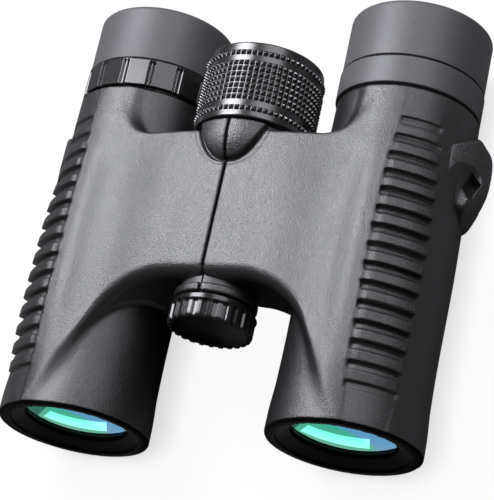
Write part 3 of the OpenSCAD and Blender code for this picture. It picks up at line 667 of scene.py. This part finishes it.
def turned_metal(name, colour, roughness):
    """Metal with faint stains and the fine rings that a lathe leaves round the long axis."""
    made, tree, surface = shader(name, colour, roughness, metallic=1.0)
    rings = noise(tree, RINGS, stretch=(0.05, 1, 0.05))
    stain = noise(tree, STAINS, 3.0)
    stained = tuple(c * 0.75 for c in colour)
    link(tree, ramp(tree, stain, *STAIN_RANGE, stained, colour), surface.inputs["Base Color"])
    glossier, duller = roughness * 0.7, roughness * 1.4
    uneven_gloss(tree, surface, rings, glossier, duller)
    bump(tree, surface, rings, RING_DEPTH)
    return made


def lens_distance(tree, x, z):
    """Distance on a lens's face from a place on it, both as shares of its width."""
    place = tree.nodes.new("ShaderNodeTexCoord")
    flat = tree.nodes.new("ShaderNodeMapping")
    flat.inputs["Scale"].default_value = (1, 0, 1)
    link(tree, place.outputs["Generated"], flat.inputs["Vector"])
    away = tree.nodes.new("ShaderNodeVectorMath")
    away.operation = "DISTANCE"
    away.inputs[1].default_value = (x, 0, z)
    link(tree, flat.outputs["Vector"], away.inputs[0])
    return away.outputs["Value"]


def coating():
    """Objective coating: a bright tinted reflection, green from the coating but for a painted blue
    reflection towards the side away from the green's middle, and dark at the very rim."""
    # the blue, where it starts and where it is full paint a reflection colour onto one side of the
    # lens
    green, painted_blue, edge = (0.03, 0.74, 0.46), (0.14, 0.55, 0.98), (0.02, 0.16, 0.12)
    green_middle, painted_blue_from, painted_blue_full = (0.10, 0.38), 0.60, 0.68
    edge_from, edge_full = 0.445, 0.465
    made, tree, surface = shader("coated_glass", green, 0.04, metallic=1.0)
    # painted reflection: the tint turns blue by place on the lens, not by the angle it is seen at
    tint = ramp(tree, lens_distance(tree, *green_middle), painted_blue_from, painted_blue_full, green, painted_blue)
    rim = tree.nodes.new("ShaderNodeMix")
    rim.data_type = "RGBA"
    link(tree, ramp(tree, lens_distance(tree, 0.5, 0.5), edge_from, edge_full, 0.0, 1.0),
         rim.inputs["Factor"])
    link(tree, tint, rim.inputs["A"])
    rim.inputs["B"].default_value = (*edge, 1)
    link(tree, rim.outputs["Result"], surface.inputs["Base Color"])
    uneven_gloss(tree, surface, noise(tree, 60), 0.03, 0.05)
    return made


def plain_glass():
    """Polished glass with a faint purple bloom from its coating."""
    made, tree, surface = shader("optical_glass", (0.9, 0.95, 0.95), 0.02,
                                 Transmission_Weight=1.0, IOR=1.52)
    surface.inputs["Specular Tint"].default_value = (0.75, 0.6, 1.0, 1)
    uneven_gloss(tree, surface, noise(tree, 80), 0.01, 0.03)
    return made


# rubbers and plastics: colour, roughness, grain to the metre and its depth, spread, own sockets
MOULDED = {
    "rubber_armour": ((0.013, 0.013, 0.0142), 0.34, 3700, 0.00013, 0.5,
                      {"Specular_IOR_Level": 0.95}),
    "eyecup_rubber": ((0.10, 0.10, 0.105), 0.52, 2600, 0.00003, 0.15,
                      {"Specular_IOR_Level": 0.5}),
    "wheel_rubber": ((0.015, 0.015, 0.016), 0.25, 2500, 0.00001, 0.2,
                     {"Specular_IOR_Level": 0.8}),
    "black_trim": ((0.012, 0.012, 0.013), 0.2, 2500, 0.00001, 0.2, {}),
    "black_plastic": ((0.07, 0.07, 0.073), 0.42, 2600, 0.00003, 0.15, {}),
    # matt black is nearly unlit and nearly unreflecting, and paints shade on the fronts that wear
    # it
    "matt_black": ((0.004, 0.004, 0.004), 0.7, 1500, 0.00002, 0.3,
                   {"Specular_IOR_Level": 0.06}),
}
METALS = {
    "steel": ((0.5, 0.51, 0.53), 0.3),
    "aluminium": ((0.45, 0.46, 0.48), 0.38),
    "brass": ((0.72, 0.56, 0.26), 0.28),
}
MATERIALS = {name: moulded(name, *values, **own) for name, (*values, own) in MOULDED.items()}
MATERIALS |= {"coated_glass": coating(), "optical_glass": plain_glass()}
MATERIALS |= {name: turned_metal(name, *values) for name, values in METALS.items()}


def paint_cad_nodes():
    """Gives each CAD node that stays the material of its slot."""
    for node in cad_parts.values():
        for holder in node.material_slots:
            for slot, made in MATERIALS.items():
                if holder.material and holder.material.name.startswith(slot):
                    holder.material = made
                    break


# ---------- armour and lugs ----------

# lowest and highest corners of each grid and its cells, as u, s and h
ARMOUR_GRID = (-0.5, -0.6, -20), (57.5, 88.4, 25.2), (0.5, 0.3, 0.5)
LUG_GRID = (AXIS_X + 12, 56, -9), (AXIS_X + 25, 87, 10.5), (0.25, 0.25, 0.25)
# the armour's faces ahead of this station get matt black, which paints shade on the front
PAINTED_SHADE_RIM = 0.75


def shells():
    carved(armour_field, *ARMOUR_GRID, "rubber_armour", "armour_skin", "armour", PAINTED_SHADE_RIM)
    carved(lug_field, *LUG_GRID, "rubber_armour", "lug_shell", "strap_lug")


# ---------- controls, rings and lenses ----------

def pads(count, top, depth, ridge, groove, start, end):
    """Flat pads round a ring, each parted from the next by a narrow ridge between two grooves.
    ridge is half the ridge's width and groove the width of a groove, as shares of the pitch; start
    and end are stations."""
    pad = 0.5 - ridge - groove
    edge = 0.02             # share of the pitch that a groove's wall takes
    ridge_drop = 0.3        # how far the ridge lies under the pads, as a share of the depth
    run_out = 0.3
    skirt = (top - 1.4, top - 0.6)

    def swell(s, r, turn):
        t = turn * count / (2 * math.pi)
        off = np.abs(t - np.round(t))
        flat = top * (math.cos(2 * math.pi * pad / count)
                      / np.cos(2 * math.pi * np.clip(0.5 - off, 0, pad) / count) - 1)
        dip = (depth * step(ridge, ridge + edge, off)
               * step(ridge + groove, ridge + groove - edge, off))
        low = ridge_drop * depth * step(ridge + edge, ridge, off)
        along = step(start, start + run_out, s) * step(end, end - run_out, s)
        return (flat - (dip + low) * along) * step(*skirt, r)
    return swell


def focus_wheel():
    """Sleeve with a wide band of steep studs between two single rows, and its rear cap."""
    start, end = WHEEL_START, WHEEL_END
    height, pitch, count = 0.72, 1.583, 64
    foot, wall = 0.39, 0.28          # a stud's half width and the run of its side, in pitches
    first, band, last = start + 2.4, start + 5.4, start + 17.8
    base = WHEEL_R - height
    rows = [first, *(band + pitch * i for i in range(7)), last]

    def studs(s, r, turn):
        t = turn * count / (2 * math.pi)
        across = np.abs(t - np.round(t))
        rise = np.zeros(np.broadcast(s, turn).shape)
        for row in rows:
            along = np.abs(s - row) / pitch
            rise = np.maximum(rise, np.clip((foot - np.maximum(across, along)) / wall, 0, 1))
        return np.where(r > base - 0.02, height * rise, 0)

    hub = radius("focus_hub") + 0.05
    sleeve = rounded([(start, hub, 0), (start, base, 0.9), (end, base, 1.7), (end, hub, 0)])
    turned("focus_wheel_studs", finer(sleeve, 0.14), 12 * count, HINGE_AXIS, "focus_wheel",
           "wheel_rubber", "focus_grip", studs)
    cap = [(end - 1.3, 0), (end - 1.3, hub - 0.05), (end - 0.3, hub - 0.05),
           (end - 0.05, hub - 0.5), (end - 0.25, hub - 1.2), (end - 0.3, 5), (end - 0.3, 0)]
    turned("focus_wheel_cap", cap, 2 * count, HINGE_AXIS, "focus_wheel", "black_trim",
           "focus_cap", hollow=False)


def diopter_ring():
    count = 16
    start, end, top = reach("right_diopter_ring")
    bore, low = 14.08, top - 1.3
    outline = rounded([(start, bore, 0), (start, low, 0), (start + 0.4, low, 0),
                       (start + 0.5, top, 0.3), (end - 0.3, top, 0.4), (end, top - 0.2, 0.3),
                       (end, bore, 0)])
    turned("right_diopter_grip", finer(outline, 0.4), 60 * count, BARREL_AXES["right"],
           "diopter_control", "black_trim", "right_diopter_ring",
           pads(count, top, depth=0.7, ridge=0.035, groove=0.085, start=start - 1,
                end=end - 0.7))


def tripod_cap():
    """Cap with pads round it. Its outline stops just short of the axis on the inner face, which
    leaves a pinhole that the socket hides while the cap is on."""
    count = 26
    start, end, top = reach("tripod_cap")
    boss, middle, rim, seat = 8.5, 0.001, top - 0.7, start + 1.4
    outline = rounded([(start, top, 0.75), (end - 1.3, top, 0.3), (end - 1.3, rim, 0.1),
                       (end, rim, 0.2), (end, boss, 0), (seat, boss, 0)])
    outline = finer([(start, middle), *outline, (seat, middle)], 0.35, closed=False)
    turned("tripod_cap_grip", outline, 32 * count, HINGE_AXIS, "tripod_cap_body", "black_trim",
           "tripod_cap",
           pads(count, top, depth=1.0, ridge=0.22, groove=0.3, start=start - 1, end=end - 1.5),
           hollow=False)


def eyecups():
    mouth = 12.9
    for side in SIDES:
        start, end, top = reach(side + "_eyecup")
        guide = radius(side + "_eyecup_guide") + 0.05
        seat = reach(side + "_eyecup_guide")[1] + 0.25
        outline = rounded([(start, guide, 0), (start, top, 0.25), (end - 0.9, top, 1.6),
                           (end, top - 1.6, 1.6), (end - 0.5, 14.2, 0.9),
                           (end - 2.4, mouth, 0.6), (seat, mouth, 0.3), (seat, guide, 0)], 8)
        turned(side + "_eyecup_rubber", finer(outline, 1.2), PLAIN, BARREL_AXES[side],
               side + "_cup", "eyecup_rubber", side + "_eyecup")


def left_collar():
    """Plain ring on the left barrel, where the right one has the diopter ring."""
    start, end, top = reach("left_plain_ring")
    bore, low = 14.05, top - 1.2
    outline = rounded([(start, bore, 0), (start, low, 0), (start + 0.5, low, 0),
                       (start + 0.5, top, 0.4), (end - 0.3, top, 0.35), (end - 0.3, low, 0),
                       (end, low, 0), (end, bore, 0)])
    turned("left_collar", finer(outline, 1.0), PLAIN, BARREL_AXES["left"], "left_half",
           "eyecup_rubber", "left_plain_ring")


def objective_fronts():
    """Black bezel from the rim down to the lens, in a matt black that paints shade on it, and the
    coated crown lens behind it.
    """
    inner, bulge, behind = 13.05, 62.0, 2.0
    for side in SIDES:
        outline = rounded([(0.62, BORE_R, 0.2), (2.4, inner, 0.3), (2.9, inner, 0),
                           (2.9, BORE_R, 0)])
        # painted shade: the bezel takes matt black, darker and duller than its trim's black
        turned(side + "_objective_bezel", finer(outline, 0.6), PLAIN, BARREL_AXES[side],
               side + "_half", "black_trim", side + "_objective_ring", finish="matt_black")
        pole, back, _ = reach(side + "_objective_crown")
        lens_r = radius(side + "_objective_crown")
        face = [(pole + bulge - math.sqrt(bulge**2 - r * r), r)
                for r in np.linspace(0, lens_r, 40)]
        turned(side + "_objective_glass", [*face, (back - behind, lens_r), (back - behind, 0)],
               PLAIN, BARREL_AXES[side], side + "_half", "coated_glass",
               side + "_objective_crown", hollow=False)


# ---------- floor, light and camera ----------

DAYLIGHT = (0.93, 0.945, 1.0)
LAMP_AIM = (0, 0, 0.02)
FLOOR_HALF = 6.0
FLOOR_DROP = -0.0002        # keeps the floor clear of what stands on it
# the floor's glow to the eye is darkened near things by ambient occlusion, a painted contact shade
PAINTED_SHADE_REACH = 0.011   # how near a thing shades the floor to the eye
PAINTED_SHADE_SPAN = (0.15, 0.8)
PAINTED_SHADE_TONES = (0.6, 0.95)
FLOOR_SEEN, FLOOR_MIRRORED, FLOOR_THROWN = 0.05, 0.2, 0.02
WORLD_SHOWN, WORLD_LIGHT = 0.14, 0.012
CAMERA_PLACE = (0.232686, -0.212324, 0.473039)
CAMERA_TURN = (27.2426, 21.9001, 12.4034)
BOUNCE_CARD = [(-26, -28), (-25, 2), (8, 2), (8, -24)]
STRIP_CARD = [(-22.5, -13.2), (-23, -5), (0, -2), (0.6, -9)]


def lamp(name, place, width, height, power):
    light = bpy.data.lights.new(name, "AREA")
    light.shape = "RECTANGLE"
    light.size, light.size_y, light.energy = width, height, power
    light.color = DAYLIGHT
    holder = bpy.data.objects.new(name, light)
    holder.location = place
    holder.rotation_euler = (Vector(LAMP_AIM) - Vector(place)).to_track_quat("-Z", "Y").to_euler()
    holder.visible_camera = False
    bpy.context.scene.collection.objects.link(holder)


def is_any(tree, kinds):
    """1 for rays of these kinds, 0 for the others."""
    path = tree.nodes.new("ShaderNodeLightPath")
    total = path.outputs[kinds[0]]
    for kind in kinds[1:]:
        either = tree.nodes.new("ShaderNodeMath")
        either.operation = "MAXIMUM"
        link(tree, total, either.inputs[0])
        link(tree, path.outputs[kind], either.inputs[1])
        total = either.outputs[0]
    return total


def choose(tree, factor, otherwise, chosen):
    mix = tree.nodes.new("ShaderNodeMixShader")
    link(tree, factor, mix.inputs[0])
    link(tree, otherwise, mix.inputs[1])
    link(tree, chosen, mix.inputs[2])
    return mix.outputs[0]


def diffuse(tree, tone):
    matt = tree.nodes.new("ShaderNodeBsdfDiffuse")
    matt.inputs["Color"].default_value = (tone, tone, tone, 1)
    return matt.outputs[0]


def new_tree(name):
    """A material and its node tree."""
    made = bpy.data.materials.new(name)
    made.use_nodes = True
    return made, made.node_tree


def stage_sheet(name, corners, made):
    """A four-cornered sheet that belongs to the stage."""
    mesh = bpy.data.meshes.new(name)
    mesh.from_pydata(corners, [], [(0, 1, 2, 3)])
    mesh.materials.append(made)
    sheet = bpy.data.objects.new(name, mesh)
    bpy.context.scene.collection.objects.link(sheet)
    return sheet


def card(name, sign, outline, lift, strength):
    """Reflector card lying in front of a barrel, given as (across, station) from the barrel's axis,
    that only polished surfaces see."""
    made, tree = new_tree(name)
    light = tree.nodes.new("ShaderNodeEmission")
    light.inputs["Strength"].default_value = strength
    link(tree, light.outputs[0], tree.nodes["Material Output"].inputs["Surface"])
    made.cycles.emission_sampling = "NONE"
    corners = [(sign * BARREL_X + x * MM, RIM_Y + s * MM, lift * MM) for x, s in outline]
    sheet = stage_sheet(name, corners, made)
    sheet.visible_camera = sheet.visible_diffuse = sheet.visible_transmission = False
    sheet.visible_shadow = False


def floor_material():
    """White to the eye, with a faint shadow and a contact shade painted into its glow near things,
    duller with its full shadow in reflections and through glass, and dark to the light that it
    would throw back up."""
    made, tree = new_tree("floor")
    # painted shade: ambient occlusion darkens the glow that the eye sees near the object
    hidden = tree.nodes.new("ShaderNodeAmbientOcclusion")
    hidden.inputs["Distance"].default_value = PAINTED_SHADE_REACH
    painted_contact_shade = tree.nodes.new("ShaderNodeEmission")
    shade = ramp(tree, hidden.outputs["AO"], *PAINTED_SHADE_SPAN, *PAINTED_SHADE_TONES)
    link(tree, shade, painted_contact_shade.inputs["Color"])
    seen = tree.nodes.new("ShaderNodeAddShader")
    link(tree, diffuse(tree, FLOOR_SEEN), seen.inputs[0])
    link(tree, painted_contact_shade.outputs[0], seen.inputs[1])
    mirrored = diffuse(tree, FLOOR_MIRRORED)
    rest = choose(tree, is_any(tree, ["Is Glossy Ray", "Is Transmission Ray"]),
                  diffuse(tree, FLOOR_THROWN), mirrored)
    mixed = choose(tree, is_any(tree, ["Is Camera Ray"]), rest, seen.outputs[0])
    link(tree, mixed, tree.nodes["Material Output"].inputs["Surface"])
    return made


def studio_world():
    """Grey to the eye, in reflections and through glass, and dim as a light."""
    world = bpy.data.worlds.new("studio")
    world.use_nodes = True
    tree = world.node_tree
    dim = tree.nodes["Background"]
    dim.inputs["Color"].default_value = (WORLD_LIGHT, WORLD_LIGHT, WORLD_LIGHT, 1)
    grey = tree.nodes.new("ShaderNodeBackground")
    grey.inputs["Color"].default_value = (WORLD_SHOWN, WORLD_SHOWN, WORLD_SHOWN, 1)
    shown = is_any(tree, ["Is Camera Ray", "Is Glossy Ray", "Is Transmission Ray"])
    link(tree, choose(tree, shown, dim.outputs[0], grey.outputs[0]),
         tree.nodes["World Output"].inputs["Surface"])
    return world


def camera():
    lens = bpy.data.cameras.new("camera")
    lens.lens, lens.sensor_width = 158.85, 36.0
    lens.clip_start, lens.clip_end = 0.01, 50
    holder = bpy.data.objects.new("camera", lens)
    holder.location = CAMERA_PLACE
    holder.rotation_euler = [math.radians(a) for a in CAMERA_TURN]
    bpy.context.scene.collection.objects.link(holder)
    bpy.context.scene.camera = holder


def stage():
    bpy.context.scene.view_settings.view_transform = "Standard"
    bpy.context.scene.world = studio_world()
    signs = [(-1, -1), (1, -1), (1, 1), (-1, 1)]
    corners = [(x * FLOOR_HALF, y * FLOOR_HALF, 0) for x, y in signs]
    stage_sheet("floor", corners, floor_material()).location.z = FLOOR_DROP
    lamp("key", (-0.39, 0.36, 0.74), width=0.45, height=0.45, power=11.2)
    lamp("fill", (0.45, 0.40, 0.70), width=0.60, height=0.50, power=3.5)
    for side, sign in SIDES.items():
        card(side + "_bounce", sign, BOUNCE_CARD, lift=0.4, strength=0.55)
        card(side + "_strip", sign, STRIP_CARD, lift=0.6, strength=1.7)
    camera()


paint_cad_nodes()
shells()
objective_fronts()
focus_wheel()
diopter_ring()
tripod_cap()
eyecups()
left_collar()
stage()
